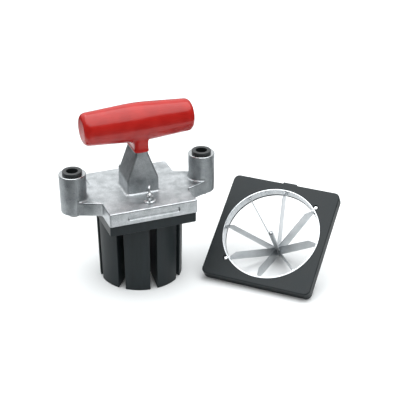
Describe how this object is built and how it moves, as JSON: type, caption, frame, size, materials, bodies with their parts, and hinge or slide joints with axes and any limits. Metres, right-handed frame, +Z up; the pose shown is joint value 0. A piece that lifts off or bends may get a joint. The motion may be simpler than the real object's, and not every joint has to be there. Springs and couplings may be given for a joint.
{
  "type": "fruit wedger pusher head and blade assembly",
  "caption": "Pusher head with a red T grip and slotted black finger block, beside the square framed ring of funnel-shaped blades that it presses fruit through.",
  "frame": {"origin": "middle of the extent of both pieces, on the surface that they stand on", "axes": "+Z up, along the guide bores; +X along the grip and the line of the two guide bores, towards the blade assembly; +Y to the back"},
  "size_m": [0.319, 0.1921, 0.2102],
  "materials": {
    "cast_aluminium": "satin as cast",
    "red_vinyl": "glossy dipped vinyl",
    "black_nylon": "satin",
    "black_block": "satin moulded",
    "black_frame": "satin moulded",
    "plated_steel": "bright plated",
    "stainless_band": "satin",
    "stainless_blade": "satin ground",
    "bright_pin": "bright"
  },
  "bodies": {
    "pusher_head": {"pusher_casting": "cast_aluminium", "handle_grip": "red_vinyl", "guide_bushing_left": "black_nylon", "guide_bushing_right": "black_nylon", "pusher_block": "black_block", "stud_front": "plated_steel", "stud_back": "plated_steel"},
    "wing_nut_front": {"wing_nut_front": "plated_steel"},
    "wing_nut_back": {"wing_nut_back": "plated_steel"},
    "blade_unit": {"blade_frame": "black_frame", "blade_band": "stainless_band", "blade_1": "stainless_blade", "blade_2": "stainless_blade", "blade_3": "stainless_blade", "blade_4": "stainless_blade", "blade_5": "stainless_blade", "blade_6": "stainless_blade", "blade_7": "stainless_blade", "blade_8": "stainless_blade", "hub_post": "stainless_blade", "band_pin_upper": "bright_pin", "band_pin_lower": "bright_pin"}
  },
  "joints": [
    {"name": "wing_nut_front_turn", "type": "hinge", "parent": "pusher_head", "child": "wing_nut_front", "pos_m": [-0.06812, 0.00295, 0.1088], "axis": [0, 0, 1], "continuous": true},
    {"name": "wing_nut_back_turn", "type": "hinge", "parent": "pusher_head", "child": "wing_nut_back", "pos_m": [-0.06812, 0.08015, 0.1088], "axis": [0, 0, 1], "continuous": true},
    {"name": "blade_unit_lift", "type": "slide", "parent": "pusher_head", "child": "blade_unit", "axis": [0, 0, 1], "range_m": [0, 0.15]}
  ]
}
